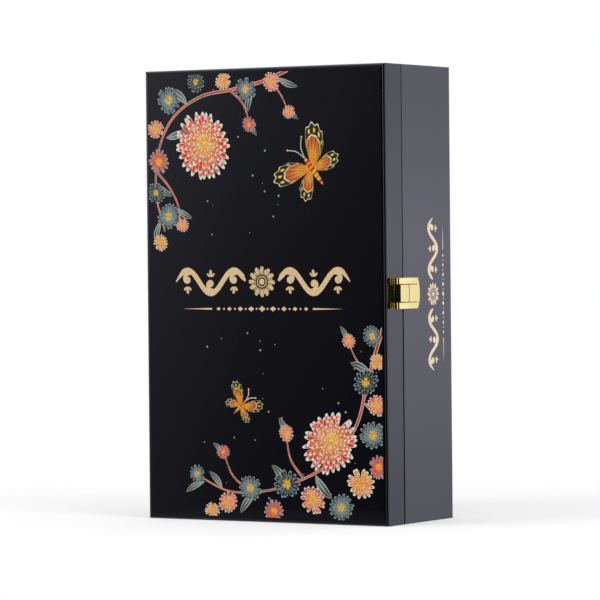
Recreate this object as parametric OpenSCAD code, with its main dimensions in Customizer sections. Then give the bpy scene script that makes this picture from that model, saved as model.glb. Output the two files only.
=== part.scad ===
// Wine box for two bottles, standing on its end as a door stands: a board case, a lid hinged
// along its left side, and a hinged metal latch in the middle of its right side.
// X runs across the front, Y from the front to the back, Z up. The origin is under the middle
// of the box, on the surface that it stands on.

/* [Box] */
// Width across the front
box_w = 223; // [216:1:260]
// Height as it stands
box_h = 360; // [350:1:420]
// Depth with the lid closed
box_d = 106; // [100:1:130]
// Depth of the lid, from its face to the seam
lid_d = 27; // [25:0.2:34]
// Gap along the seam
seam_gap = 0.4; // [0.3:0.1:0.8]

/* [Boards] */
// Thickness of the boards round the sides
wall_t = 9; // [8.5:0.5:11]
// Thickness of the edge of the front and back boards, which covers the side boards
lip_t = 4; // [3.5:0.5:5]
// How far the middle of the front and back boards reaches in between the side boards
field_t = 2; // [1:0.5:3]
// Rounding all round the front face and the back face
face_r = 3; // [1:0.5:3.5]
// Rounding of the four outer corners that run from front to back
corner_r = 0.8; // [0.4:0.1:1.5]
// Rounding of the outer edges on both sides of the seam
seam_r = 0.7; // [0.3:0.1:1]
// Clearance between a board's middle and the side boards round it
board_fit = 0.15; // [0.05:0.05:0.4]

/* [Bottle tray] */
// Radius of the place for a bottle's body
bottle_r = 39; // [36:0.5:40]
// Radius of the place for its neck
neck_r = 17; // [15:0.5:20]
// Length of the straight body
body_l = 190; // [170:1:200]
// Length of the shoulder
shoulder_l = 58; // [40:1:60]
// Length of the whole place, from the bottle's foot to its lip
bottle_l = 320; // [300:1:322]
// Foam left behind the deepest line of a bottle's place
tray_floor_t = 3; // [2:0.5:5]
// How far the tray's face lies behind the rim of the case
tray_drop = 8; // [5:0.5:12]
// Rounding round the tray's face
tray_r = 2.5; // [1:0.5:4]
// Clearance between the tray and the side boards
tray_fit = 0.5; // [0.2:0.1:1]
// Height of the finger hollow between the two bottles
scoop_w = 40; // [32:1:60]
// Depth of the finger hollow below the tray's face
scoop_t = 34; // [30:1:45]

/* [Lid lining] */
// Thickness of the stiff board that the lining is wrapped on
pad_board_t = 1.6; // [1:0.2:3]
// Thickness of the padding
pad_t = 8; // [5:0.5:9]
// Rounding of the padding's edges
pad_r = 3.5; // [2:0.5:4.5]
// Clearance between the lining and the lid's side boards
pad_fit = 0.6; // [0.3:0.1:1]

/* [Hinges] */
// Length of a hinge
hinge_l = 38; // [30:1:60]
// Height of each hinge's middle from the nearer end of the box
hinge_inset = 70; // [50:1:100]
// Width of a leaf on its board's edge
leaf_w = 8; // [7.5:0.25:8.25]
// Thickness of a leaf
leaf_t = 1; // [0.8:0.1:1.2]
// Outer radius of the knuckles
knuckle_r = 2.4; // [2:0.1:3]
// Number of knuckles, an odd number, shared by the two leaves
knuckle_n = 5; // [3:2:7]
// Clearance between neighbouring knuckles
knuckle_gap = 0.15; // [0.1:0.05:0.3]
// Gap between the knuckles and the side of the box
knuckle_stand = 0.2; // [0.1:0.05:0.5]
// Radius of a hinge pin
hinge_pin_r = 1.1; // [0.9:0.05:1.3]
// Radius of a hinge pin's heads
hinge_pin_head_r = 1.9; // [1.6:0.1:2]
// Thickness of a hinge pin's heads
hinge_pin_head_t = 0.8; // [0.5:0.1:1.2]
// Radial clearance of a pin in a knuckle that turns on it
pin_fit = 0.05; // [0.02:0.01:0.1]
// Distance between the two screws of a leaf
hinge_screw_pitch = 24; // [18:1:26]
// Radius of a hinge screw's shank
hinge_screw_r = 1; // [0.8:0.1:1.2]
// Radius of a hinge screw's countersunk head
hinge_screw_head_r = 1.9; // [1.6:0.1:2.1]
// Length of a hinge screw
hinge_screw_l = 9; // [7:0.5:12]

/* [Latch] */
// Height of the latch's middle above the foot of the box
latch_z = 181; // [120:1:240]
// Width of the latch, measured along the seam
latch_w = 24; // [22:0.5:30]
// How far the closed latch reaches in front of the seam
latch_front_l = 23.1; // [22:0.1:23.5]
// How far the closed latch reaches behind the seam
latch_back_l = 12.3; // [11.5:0.1:16]
// Height of the closed latch over the side of the box
latch_h = 8.2; // [7.8:0.1:9]
// Thickness of the latch's sheet metal
sheet_t = 1.4; // [1.2:0.1:1.6]
// Thickness of the two plates that are screwed to the boards
plate_t = 1; // [0.8:0.1:1.4]
// Width of the bracket's tongue between the flap's arms
tongue_w = 13.5; // [12:0.1:14]
// Where the flat face of the tongue begins, behind its front end
tongue_slope_l = 5.7; // [4:0.1:6.5]
// How far the tongue's front end rises before it slopes back
tongue_nose_h = 5.2; // [4:0.1:6]
// How far the tongue's front end leans back over that height
tongue_lean = 0.6; // [0.1:0.1:1]
// Where the tongue ends, measured from the latch's front end
tongue_l = 18.9; // [17:0.1:20]
// Radius of the tongue's curved end
tongue_end_r = 19.5; // [15:0.5:25]
// Radius of the flap's curved end
flap_end_r = 24.8; // [20:0.1:30]
// Gap between the tongue and the arms beside it
arm_gap = 0.5; // [0.4:0.1:0.8]
// Depth of the flap's turned-down rim below its face
rim_h = 2.7; // [2.4:0.1:2.9]
// How far the bracket's plate stays behind the tongue's front end
plate_step = 1.6; // [1:0.1:2]
// Radius of the latch's pin
latch_pin_r = 1; // [0.8:0.1:1.2]
// Distance of the pin behind the latch's front end
latch_pin_s = 5.4; // [5:0.1:5.8]
// Outer radius of the flap's knuckles
ear_r = 3.4; // [3:0.1:3.5]
// Depth of the two lines that run on over the flap's face
line_t = 0.4; // [0.2:0.1:0.6]
// Distance of the catch's nose behind the seam
nose_in = 4.8; // [4.5:0.1:5.2]
// Width of the catch's nose
nose_w = 10; // [6:0.5:11]
// Thickness of the catch's nose
nose_t = 2.6; // [2:0.1:3]
// Gap between the nose and the flap's rim when the lid swings with the flap closed
nose_gap = 0.2; // [0.2:0.05:0.5]
// Radius of a latch screw's shank
latch_screw_r = 0.9; // [0.7:0.1:1.1]
// Radius of a latch screw's head
latch_screw_head_r = 1.8; // [1.5:0.1:1.9]
// Length of a latch screw's shank
latch_screw_l = 7; // [5:0.5:8]

/* [Hidden] */
$fn = 64;

over = 1;                                 // how far a cut runs past what it cuts
right_x = box_w / 2;                      // the latch side's outer face
front_y = -box_d / 2;
back_y = box_d / 2;
seam_y = front_y + lid_d;                 // middle of the seam, and of the hinge pins
case_front_y = seam_y + seam_gap / 2;
lid_back_y = seam_y - seam_gap / 2;
rail_y = front_y + lip_t;                 // where the lid's side boards meet the front board
wall_y = back_y - lip_t;
inner_w = box_w - 2 * wall_t;
inner_h = box_h - 2 * wall_t;

tray_w = inner_w - 2 * tray_fit;
tray_h = inner_h - 2 * tray_fit;
tray_front_y = case_front_y + tray_drop;
tray_back_y = wall_y - field_t;
bottle_y = tray_back_y - tray_floor_t - bottle_r;
bottle_x = tray_w / 4;
bottle_z = (box_h - bottle_l) / 2;
scoop_z = bottle_z + body_l / 2;
shoulder_steps = 8;

lining_y = rail_y + field_t;
pad_y = lining_y + pad_board_t;
lining_w = inner_w - 2 * pad_fit;
lining_h = inner_h - 2 * pad_fit;

mortise_fit = 0.05;
notch_fit = 0.3;                          // clearance of a leaf round the other leaf's knuckles
hole_fit = 0.05;                          // clearance of a screw in its hole
screw_tip_l = 2;
tip_r = 0.2;
slot_w = 0.5;
slot_t = 0.5;
slot_share = 0.5;                         // of a screw head's radius, to each side
leaf_screw_shift = 0.4;                   // a leaf's screws sit this far past its middle
hinge_x = -right_x - knuckle_r - knuckle_stand;
hinge_zs = [hinge_inset, box_h - hinge_inset];
knuckle_l = hinge_l / knuckle_n;
leaf_end_x = -right_x + leaf_w;
leaf_screw_x = -right_x + leaf_w / 2 + leaf_screw_shift;

seat_gap = 1.4;                           // how far each latch plate stops short of the seam
core_past_pin = 2.7;                      // the bracket is solid this far behind its pin
end_gap = 0.5;                            // gap between the tongue's curved end and the flap
rib_gap = 0.6;                            // gap between the catch's nose and the flap's rib
rib_t = 1.4;
line_end_gap = 3.9;                       // the lines on the flap stop this far from its end
plate_inset = 1.2;                        // the catch's plate stays this far inside the flap
pin_end_gap = 0.4;
screw_inset = 3;                          // latch screws, from the plates' edges along the seam
bracket_screw_in = 8.7;                   // the bracket's screws, in front of the seam
screw_head_t = 0.9;
screw_head_taper = 0.7;
latch_start = lid_d - latch_front_l;      // distances along the latch are from the front face
latch_end = lid_d + latch_back_l;
latch_l = latch_end - latch_start;
tongue_end = latch_start + tongue_l;
pin_s = latch_start + latch_pin_s;
pin_p = latch_h - ear_r;                  // the latch pin's height over the side of the box
core_end = pin_s + core_past_pin;
rim_p = latch_h - rim_h;
nose_s = lid_d + nose_in;
nose_top = rim_p - nose_gap;
rib_s = nose_s + nose_t / 2 + rib_gap;    // the flap's rib stands just behind the nose
bracket_screw_s = lid_d - bracket_screw_in;
window_w = tongue_w + 2 * arm_gap;

// A flat outline of width w from y0 to y1, its corners rounded by r0 at y0 and r1 at y1.
module edge_profile(w, y0, y1, r0, r1) {
    translate([-w / 2, y0 + r0]) square([w, y1 - r1 - y0 - r0]);
    if (r0 > 0) {
        translate([-w / 2 + r0, y0]) square([w - 2 * r0, y1 - r1 - y0]);
        for (x = [-w / 2 + r0, w / 2 - r0]) translate([x, y0 + r0]) circle(r0);
    }
    if (r1 > 0) {
        translate([-w / 2 + r1, y0 + r0]) square([w - 2 * r1, y1 - y0 - r0]);
        for (x = [-w / 2 + r1, w / 2 - r1]) translate([x, y1 - r1]) circle(r1);
    }
}

// A board w by h, standing in the middle of the box, from y0 to y1. The edges round its face at
// y0 are rounded by r0, those at y1 by r1, and the corners that run from y0 to y1 by rc.
module board(w, h, y0, y1, r0, r1, rc) {
    intersection() {
        translate([0, 0, (box_h - h) / 2]) linear_extrude(h) edge_profile(w, y0, y1, r0, r1);
        translate([-w / 2, 0, box_h / 2]) rotate([0, 90, 0]) linear_extrude(w)
            edge_profile(h, y0, y1, r0, r1);
        if (rc > 0) translate([0, y1, box_h / 2]) rotate([90, 0, 0]) linear_extrude(y1 - y0)
            translate([0, -h / 2]) edge_profile(w, 0, h, rc, rc);
    }
}

// The wedge that holds one side board of a mitred frame, for the side at a quarter turn n:
// 0 is the bottom, 1 the latch side, 2 the top and 3 the hinge side.
module mitre(n) {
    across = [box_w, box_h, box_w, box_h][n] / 2;
    out = [box_h, box_w, box_h, box_w][n] / 2;
    translate([0, back_y + over, box_h / 2]) rotate([90, 0, 0]) linear_extrude(box_d + 2 * over)
        rotate(90 * n) polygon([
            [-across, -out], [across, -out], [across - wall_t, wall_t - out],
            [wall_t - across, wall_t - out]
        ]);
}

module case_board(n) {
    intersection() {
        board(box_w, box_h, case_front_y, wall_y, seam_r, 0, corner_r);
        mitre(n);
    }
}

module lid_board(n) {
    intersection() {
        board(box_w, box_h, rail_y, lid_back_y, 0, seam_r, corner_r);
        mitre(n);
    }
}

// The middle of the front or back board, which reaches in between the side boards. It is drawn
// from y0 to y1, and one of these lies half way through the board.
module field(y0, y1) {
    w = inner_w - 2 * board_fit;
    h = inner_h - 2 * board_fit;
    translate([-w / 2, y0, (box_h - h) / 2]) cube([w, y1 - y0, h]);
}

// A leaf and what belongs to it are drawn for the case, behind the seam. The lid's are their
// mirror image, in front of it: side is 1 for the case and -1 for the lid.
module on_leaf(side, z) {
    translate([0, seam_y, z]) {
        if (side > 0) children();
        else mirror([0, 1, 0]) children();
    }
}

// The place cut into a board's edge for a leaf, with its two pilot holes.
module leaf_mortise(side, z) {
    on_leaf(side, z) {
        translate([-right_x - over, 0, -hinge_l / 2 - mortise_fit])
            cube([leaf_w + over + mortise_fit, seam_gap / 2 + leaf_t + mortise_fit,
                hinge_l + 2 * mortise_fit]);
        for (dz = [-1, 1] * hinge_screw_pitch / 2)
            translate([leaf_screw_x, 0, dz]) rotate([-90, 0, 0])
                cylinder(r = hinge_screw_r + hole_fit, h = hinge_screw_l + over);
    }
}

// One leaf of a hinge with the knuckles numbered from first in steps of two.
module hinge_leaf(side, z, first) {
    on_leaf(side, z) difference() {
        union() {
            translate([hinge_x, seam_gap / 2, -hinge_l / 2])
                cube([leaf_end_x - hinge_x, leaf_t, hinge_l]);
            for (i = [first:2:knuckle_n - 1]) knuckle(i, knuckle_r, -knuckle_gap / 2);
        }
        for (i = [1 - first:2:knuckle_n - 1]) knuckle(i, knuckle_r + notch_fit, knuckle_gap / 2);
        translate([hinge_x, 0, -hinge_l / 2 - over])
            cylinder(r = hinge_pin_r + pin_fit, h = hinge_l + 2 * over);
        for (dz = [-1, 1] * hinge_screw_pitch / 2)
            translate([leaf_screw_x, seam_gap / 2, dz]) rotate([-90, 0, 0])
                rotate_extrude() polygon([
                    [0, -over], [hinge_screw_head_r + hole_fit, -over],
                    [hinge_screw_head_r + hole_fit, 0], [hinge_screw_r + hole_fit, leaf_t],
                    [hinge_screw_r + hole_fit, leaf_t + over], [0, leaf_t + over]
                ]);
    }
}

// Knuckle number i, counted upwards, grown at its inner ends by grow. Ends of the hinge stay.
module knuckle(i, r, grow) {
    low = -hinge_l / 2 + i * knuckle_l - (i > 0 ? grow : 0);
    high = -hinge_l / 2 + (i + 1) * knuckle_l + (i < knuckle_n - 1 ? grow : 0);
    translate([hinge_x, 0, low]) cylinder(r = r, h = high - low);
}

module hinge_pin(z) {
    translate([hinge_x, seam_y, z]) {
        translate([0, 0, -hinge_l / 2 - hinge_pin_head_t])
            cylinder(r = hinge_pin_r, h = hinge_l + 2 * hinge_pin_head_t);
        for (low = [-hinge_l / 2 - hinge_pin_head_t, hinge_l / 2])
            translate([0, 0, low]) cylinder(r = hinge_pin_head_r, h = hinge_pin_head_t);
    }
}

// The four countersunk screws of the leaves on one side of the seam.
module hinge_screws(side) {
    for (z = hinge_zs, dz = [-1, 1] * hinge_screw_pitch / 2) on_leaf(side, z)
        translate([leaf_screw_x, seam_gap / 2, dz]) rotate([-90, 0, 0]) difference() {
            rotate_extrude() polygon([
                [0, 0], [hinge_screw_head_r, 0], [hinge_screw_r, leaf_t],
                [hinge_screw_r, hinge_screw_l - screw_tip_l], [tip_r, hinge_screw_l],
                [0, hinge_screw_l]
            ]);
            cross_slot(hinge_screw_head_r * slot_share);
        }
}

// The crossed slots for a screwdriver, cut upwards from z = 0.
module cross_slot(half) {
    for (turn = [0, 90]) rotate(turn)
        translate([-half, -slot_w / 2, -over]) cube([2 * half, slot_w, slot_t + over]);
}

// Places a latch piece that is drawn with X out from the side of the box and Y back from its
// front face, with Z 0 in the latch's middle.
module at_latch() {
    translate([right_x, front_y, latch_z]) children();
}

// A round post that stands out from the side of the box, its axis at s behind the front face.
module side_disc(s, r, p0, p1) {
    translate([p0, s, 0]) rotate([0, 90, 0]) cylinder(r = r, h = p1 - p0);
}

module bracket_holes(r, p0, p1) {
    for (z = [-1, 1] * (latch_w / 2 - screw_inset))
        translate([0, 0, z]) side_disc(bracket_screw_s, r, p0, p1);
}

module catch_holes(r, p0, p1) {
    for (z = [-1, 1] * (latch_w / 2 - screw_inset))
        translate([0, 0, z]) side_disc(nose_s, r, p0, p1);
}

// The lid's half of the latch: a plate, a solid core for the pin, and a tongue with a curved end
// that fills the space between the flap's arms.
module latch_bracket() {
    color("goldenrod") at_latch() difference() {
        union() {
            translate([0, latch_start + plate_step, -latch_w / 2])
                cube([plate_t, latch_front_l - seat_gap - plate_step, latch_w]);
            intersection() {
                translate([0, 0, -tongue_w / 2]) linear_extrude(tongue_w) polygon([
                    [0, latch_start], [tongue_nose_h, latch_start + tongue_lean],
                    [latch_h, latch_start + tongue_slope_l], [latch_h, tongue_end],
                    [latch_h - sheet_t, tongue_end], [latch_h - sheet_t, core_end],
                    [0, core_end]
                ]);
                side_disc(tongue_end - tongue_end_r, tongue_end_r, -over, latch_h + over);
            }
        }
        translate([pin_p, pin_s, -latch_w / 2 - over])
            cylinder(r = latch_pin_r + pin_fit, h = latch_w + 2 * over);
        bracket_holes(latch_screw_r + hole_fit, -over, plate_t + over);
    }
}

module latch_pin() {
    color("goldenrod") at_latch()
        translate([pin_p, pin_s, -latch_w / 2 + pin_end_gap])
            cylinder(r = latch_pin_r, h = latch_w - 2 * pin_end_gap);
}

// The flap: a hollow stamping with a curved end, two arms beside the tongue, a knuckle on each
// arm, and a rib on its inside that drops behind the catch's nose.
module latch_flap() {
    color("gold") at_latch() difference() {
        union() {
            intersection() {
                translate([rim_p, pin_s, -latch_w / 2])
                    cube([rim_h, latch_l, latch_w]);
                side_disc(latch_end - flap_end_r, flap_end_r, 0, latch_h + over);
            }
            translate([pin_p, pin_s, -latch_w / 2]) cylinder(r = ear_r, h = latch_w);
        }
        difference() {
            intersection() {
                translate([pin_p, pin_s + ear_r, sheet_t - latch_w / 2])
                    cube([latch_h - sheet_t - pin_p, latch_l, latch_w - 2 * sheet_t]);
                side_disc(latch_end - flap_end_r, flap_end_r - sheet_t, 0, latch_h);
            }
            translate([rim_p, rib_s, -nose_w / 2]) cube([rim_h, rib_t, nose_w]);
        }
        intersection() {
            translate([pin_p - ear_r - over, 0, -window_w / 2])
                cube([2 * latch_h, tongue_end + end_gap, window_w]);
            side_disc(tongue_end - tongue_end_r, tongue_end_r + end_gap, -over, 2 * latch_h);
        }
        translate([pin_p, pin_s, -latch_w / 2 - over])
            cylinder(r = latch_pin_r + pin_fit, h = latch_w + 2 * over);
        for (z = [-1, 1] * (tongue_w + arm_gap) / 2)
            translate([latch_h - line_t, tongue_end - end_gap, z - arm_gap / 2])
                cube([line_t + over, latch_end - line_end_gap - tongue_end + end_gap, arm_gap]);
    }
}

// The case's half of the latch: a plate that the closed flap covers, with a round-topped nose.
module latch_catch() {
    color("goldenrod") at_latch() difference() {
        union() {
            intersection() {
                translate([0, lid_d + seat_gap, -latch_w / 2]) cube([plate_t, latch_l, latch_w]);
                side_disc(latch_end - flap_end_r, flap_end_r - plate_inset, -over, latch_h);
            }
            translate([0, 0, -nose_w / 2]) linear_extrude(nose_w) {
                translate([plate_t / 2, nose_s - nose_t / 2])
                    square([nose_top - nose_t / 2 - plate_t / 2, nose_t]);
                translate([nose_top - nose_t / 2, nose_s]) circle(nose_t / 2);
            }
        }
        catch_holes(latch_screw_r + hole_fit, -over, plate_t + over);
    }
}

// A round-headed screw through a latch plate into the board behind it.
module latch_screw(s, z) {
    color("goldenrod") at_latch() translate([plate_t, s, z]) rotate([0, -90, 0]) difference() {
        rotate_extrude() polygon([
            [0, -screw_head_t], [latch_screw_head_r * screw_head_taper, -screw_head_t],
            [latch_screw_head_r, 0], [latch_screw_r, 0],
            [latch_screw_r, latch_screw_l - screw_tip_l], [tip_r, latch_screw_l],
            [0, latch_screw_l]
        ]);
        translate([0, 0, -screw_head_t]) cross_slot(latch_screw_head_r * slot_share);
    }
}

module bracket_screws() {
    for (z = [-1, 1] * (latch_w / 2 - screw_inset)) latch_screw(bracket_screw_s, z);
}

module catch_screws() {
    for (z = [-1, 1] * (latch_w / 2 - screw_inset)) latch_screw(nose_s, z);
}

// Half the outline of a bottle's place, from its axis outwards, with its foot at 0.
function bottle_half() = [
    [0, 0], [bottle_r, 0],
    for (i = [0:shoulder_steps])
        let (share = i / shoulder_steps)
        [neck_r + (bottle_r - neck_r) * (1 + cos(180 * share)) / 2, body_l + shoulder_l * share],
    [neck_r, bottle_l], [0, bottle_l]
];

// A bottle's place: round behind the bottle's axis, and straight-sided from there to the front.
module bottle_place(x) {
    translate([x, bottle_y, bottle_z]) {
        rotate_extrude(angle = 180) polygon(bottle_half());
        rotate([90, 0, 0]) linear_extrude(bottle_y - tray_front_y + over) {
            polygon(bottle_half());
            mirror([1, 0]) polygon(bottle_half());
        }
    }
}

// The round-bottomed hollow between the bottles, where fingers reach under them.
module finger_scoop() {
    r = scoop_w / 2;
    translate([-bottle_x, tray_front_y, scoop_z]) {
        translate([0, scoop_t - r, 0]) rotate([0, 90, 0]) cylinder(r = r, h = 2 * bottle_x);
        translate([0, -over, -r]) cube([2 * bottle_x, scoop_t - r + over, scoop_w]);
    }
}

module bottle_tray() {
    color("#1a1a1c") difference() {
        board(tray_w, tray_h, tray_front_y, tray_back_y, tray_r, 0, 0);
        for (x = [-bottle_x, bottle_x]) bottle_place(x);
        finger_scoop();
    }
}

module back_panel() {
    color("#141418") {
        board(box_w, box_h, wall_y, back_y, 0, face_r, corner_r);
        field(wall_y - field_t, wall_y + lip_t / 2);
    }
}

module front_panel() {
    color("#141418") {
        board(box_w, box_h, front_y, rail_y, face_r, 0, corner_r);
        field(rail_y - lip_t / 2, rail_y + field_t);
    }
}

module case_wall(n) {
    color("#17171c") case_board(n);
}

module case_hinge_wall() {
    color("#17171c") difference() {
        case_board(3);
        for (z = hinge_zs) leaf_mortise(1, z);
    }
}

module case_latch_wall() {
    color("#17171c") difference() {
        case_board(1);
        at_latch() catch_holes(latch_screw_r + hole_fit, -latch_screw_l, over);
    }
}

module lid_hinge_rail() {
    color("#17171c") difference() {
        lid_board(3);
        for (z = hinge_zs) leaf_mortise(-1, z);
    }
}

module lid_latch_rail() {
    color("#17171c") difference() {
        lid_board(1);
        at_latch() bracket_holes(latch_screw_r + hole_fit, -latch_screw_l, over);
    }
}

module lid_end_rail(n) {
    color("#17171c") lid_board(n);
}

module lid_lining_board() {
    color("#c9b27c") board(lining_w, lining_h, lining_y, pad_y, 0, 0, 0);
}

module lid_pad() {
    color("#d8c08a") board(lining_w, lining_h, pad_y, pad_y + pad_t, 0, pad_r, 0);
}

back_panel();
case_hinge_wall();
case_latch_wall();
case_wall(2);  // case_top_wall
case_wall(0);  // case_bottom_wall
bottle_tray();
front_panel();
lid_hinge_rail();
lid_latch_rail();
lid_end_rail(2);  // lid_top_rail
lid_end_rail(0);  // lid_bottom_rail
lid_lining_board();
lid_pad();
color("goldenrod") hinge_leaf(1, hinge_zs[1], 0);  // upper_hinge_case_leaf
color("goldenrod") hinge_leaf(-1, hinge_zs[1], 1);  // upper_hinge_lid_leaf
color("goldenrod") hinge_pin(hinge_zs[1]);  // upper_hinge_pin
color("goldenrod") hinge_leaf(1, hinge_zs[0], 0);  // lower_hinge_case_leaf
color("goldenrod") hinge_leaf(-1, hinge_zs[0], 1);  // lower_hinge_lid_leaf
color("goldenrod") hinge_pin(hinge_zs[0]);  // lower_hinge_pin
color("goldenrod") hinge_screws(1);  // hinge_screws_case
color("goldenrod") hinge_screws(-1);  // hinge_screws_lid
latch_bracket();
latch_pin();
latch_flap();
latch_catch();
bracket_screws();
catch_screws();
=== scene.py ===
"""A black lacquered wine box, standing on its end: its looks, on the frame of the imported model."""
import math

import bmesh
import bpy
import numpy as np
from mathutils import Matrix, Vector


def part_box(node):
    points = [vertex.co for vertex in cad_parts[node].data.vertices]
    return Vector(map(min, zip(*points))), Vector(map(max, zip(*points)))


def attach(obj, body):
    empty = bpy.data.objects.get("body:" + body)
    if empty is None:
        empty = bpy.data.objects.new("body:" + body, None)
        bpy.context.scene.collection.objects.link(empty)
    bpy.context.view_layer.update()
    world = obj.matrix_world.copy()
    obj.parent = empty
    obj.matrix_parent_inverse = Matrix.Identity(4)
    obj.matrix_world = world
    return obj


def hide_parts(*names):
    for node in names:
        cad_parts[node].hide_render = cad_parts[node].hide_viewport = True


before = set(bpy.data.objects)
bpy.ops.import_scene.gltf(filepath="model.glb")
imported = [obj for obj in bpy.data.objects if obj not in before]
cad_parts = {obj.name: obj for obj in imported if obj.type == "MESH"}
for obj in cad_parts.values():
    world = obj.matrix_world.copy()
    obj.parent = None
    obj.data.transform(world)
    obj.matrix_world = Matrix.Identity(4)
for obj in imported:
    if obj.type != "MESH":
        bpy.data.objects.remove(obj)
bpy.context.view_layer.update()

# The studio: a long lens from the front right, a little above half the box's height, a sheet of
# white paper under the box, two large soft lamps, and white all round except where black
# boards stand, which keep the front of the lacquer dark and give its edges their thin lights.
eye = (1.5732, -2.5645, 0.2232)
eye_turn, eye_pitch, eye_roll = (math.radians(degrees) for degrees in (31.507, 89.083, -0.530))
camera = bpy.data.objects.new("camera", bpy.data.cameras.new("camera"))
camera.data.lens = 225.0
camera.data.sensor_width = 36
camera.matrix_world = (Matrix.Translation(eye) @ Matrix.Rotation(eye_turn, 4, "Z")
                       @ Matrix.Rotation(eye_pitch, 4, "X") @ Matrix.Rotation(eye_roll, 4, "Z"))
bpy.context.scene.collection.objects.link(camera)
bpy.context.scene.camera = camera
bpy.context.scene.view_settings.view_transform = "Standard"


def wire(made, inputs):
    """Gives a node's inputs, by name or number, their values or the outputs they link to."""
    for name, value in inputs.items():
        if isinstance(value, bpy.types.NodeSocket):
            made.id_data.links.new(value, made.inputs[name])
        else:
            made.inputs[name].default_value = value
    return made


def node(tree, kind, inputs=None, **settings):
    """A new node of a tree, with its settings, then its inputs."""
    made = tree.nodes.new(kind)
    for name, value in settings.items():
        setattr(made, name, value)
    return wire(made, inputs or {})


def sums(tree, operation, *values):
    """A Math node on numbers or outputs. Gives its output."""
    return node(tree, "ShaderNodeMath", dict(enumerate(values)), operation=operation).outputs[0]


def mixed(tree, share, first, second, way="MIX"):
    """A Mix node, from the first colour to the second by a share. Gives its colour output."""
    return node(tree, "ShaderNodeMix", {0: share, 6: first, 7: second}, data_type="RGBA",
                blend_type=way).outputs[2]


def ramp(tree, value, stops, smooth=False):
    """A Color Ramp from stops of (position, colour or grey level). Gives its colour output."""
    made = node(tree, "ShaderNodeValToRGB", {0: value})
    made.color_ramp.interpolation = "EASE" if smooth else "LINEAR"
    while len(made.color_ramp.elements) < len(stops):
        made.color_ramp.elements.new(0.5)
    for element, (position, colour) in zip(made.color_ramp.elements, stops):
        element.position = position
        shade = (colour,) * 3 if isinstance(colour, (int, float)) else tuple(colour)
        element.color = (*shade, 1)
    return made.outputs[0]


studio = bpy.data.worlds.new("studio")
studio.use_nodes = True
bpy.context.scene.world = studio
sky = studio.node_tree
sky.nodes.clear()
direction = node(sky, "ShaderNodeTexCoord").outputs["Generated"]
east, north, height = node(sky, "ShaderNodeSeparateXYZ", {0: direction}).outputs
compass = sums(sky, "ARCTAN2", east, sums(sky, "MULTIPLY", north, -1.0))
round_the_box = sums(sky, "MULTIPLY_ADD", compass, 0.5 / math.pi, 0.5)
climb = sums(sky, "MULTIPLY_ADD", sums(sky, "ARCSINE", height), 1 / math.pi, 0.5)
# What the gloss sees by compass degrees from the front, positive to the right: the level of the
# boards and the white between them, and the share that the half behind the box has in it.
boards = [(-180, 0.95), (-115, 0.90), (-75, 0.80), (-60, 0.62), (-45, 0.46), (-37, 0.38),
          (-33.8, 0.275), (-33.3, 0.200), (-32.7, 0.130), (-31.6, 0.100), (-30.2, 0.086),
          (-29.2, 0.006), (32, 0.003), (35, 1.0), (49, 1.0), (53, 0.003), (93, 0.003),
          (105, 0.92), (148.6, 0.88), (149.9, 0.88), (150.9, 0.66), (155, 0.70), (180, 0.95)]
half_behind = [(-180, 1.0), (-126, 1.0), (-90, 0.0), (86.4, 0.0), (108, 1.0), (180, 1.0)]
# How much of that is left by degrees of height, in front and behind, and its tint there.
front_fade = [(-90, 0.10), (-12, 0.16), (-4, 0.21), (-3, 0.24), (0, 0.41), (2, 0.63), (4, 0.75),
              (10, 0.80), (18, 0.35), (90, 0.35)]
back_fade = [(-90, 0.30), (-14, 0.36), (-4, 0.65), (-2.8, 0.80), (0, 1.0), (2, 0.76), (5, 0.72),
             (14, 0.85), (60, 1.0), (90, 1.0)]
front_tint, back_tint = (2.8, 2.8, 2.9, 1), (1.20, 1.20, 1.36, 1)
plain_level, white = (0.75, 0.75, 0.75, 1), (1, 1, 1, 1)   # of the soft light and the backdrop


def by_degrees(value, whole, levels):
    """A ramp of the world whose stops are degrees, from minus to plus half of the whole."""
    return ramp(sky, value, [(degrees / whole + 0.5, level) for degrees, level in levels])


front_level = mixed(sky, 1.0, by_degrees(climb, 180, front_fade), front_tint, "MULTIPLY")
back_level = mixed(sky, 1.0, by_degrees(climb, 180, back_fade), back_tint, "MULTIPLY")
level = mixed(sky, by_degrees(round_the_box, 360, half_behind), front_level, back_level)
in_gloss = mixed(sky, 1.0, by_degrees(round_the_box, 360, boards), level, "MULTIPLY")
path = node(sky, "ShaderNodeLightPath").outputs
seen_straight = sums(sky, "MAXIMUM", path["Is Camera Ray"], path["Is Transmission Ray"])
light = mixed(sky, seen_straight, mixed(sky, path["Is Glossy Ray"], plain_level, in_gloss), white)
background = node(sky, "ShaderNodeBackground", {"Color": light})
node(sky, "ShaderNodeOutputWorld", {"Surface": background.outputs[0]})

lamp_width, lamp_aim = 1.2, (0, 0, 0.15)


def soft_lamp(name, place, watts):
    """A large square lamp at a place, turned to face the box, left out of the reflections."""
    lamp = bpy.data.objects.new(name, bpy.data.lights.new(name, "AREA"))
    lamp.data.shape = "SQUARE"
    lamp.data.size = lamp_width
    lamp.data.energy = watts
    away = np.subtract(place, lamp_aim)
    away = away / np.linalg.norm(away)
    side = np.cross((0, 0, 1), away)
    side = side / np.linalg.norm(side)
    up = np.cross(away, side)
    lamp.matrix_world = Matrix([(side[i], up[i], away[i], place[i]) for i in range(3)]
                               + [(0, 0, 0, 1)])
    lamp.visible_glossy = False
    lamp.visible_camera = False
    bpy.context.scene.collection.objects.link(lamp)


soft_lamp("lamp_left", (-1.3, -1.6, 1.7), 20)
soft_lamp("lamp_right", (1.9, -0.6, 1.6), 18)


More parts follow.
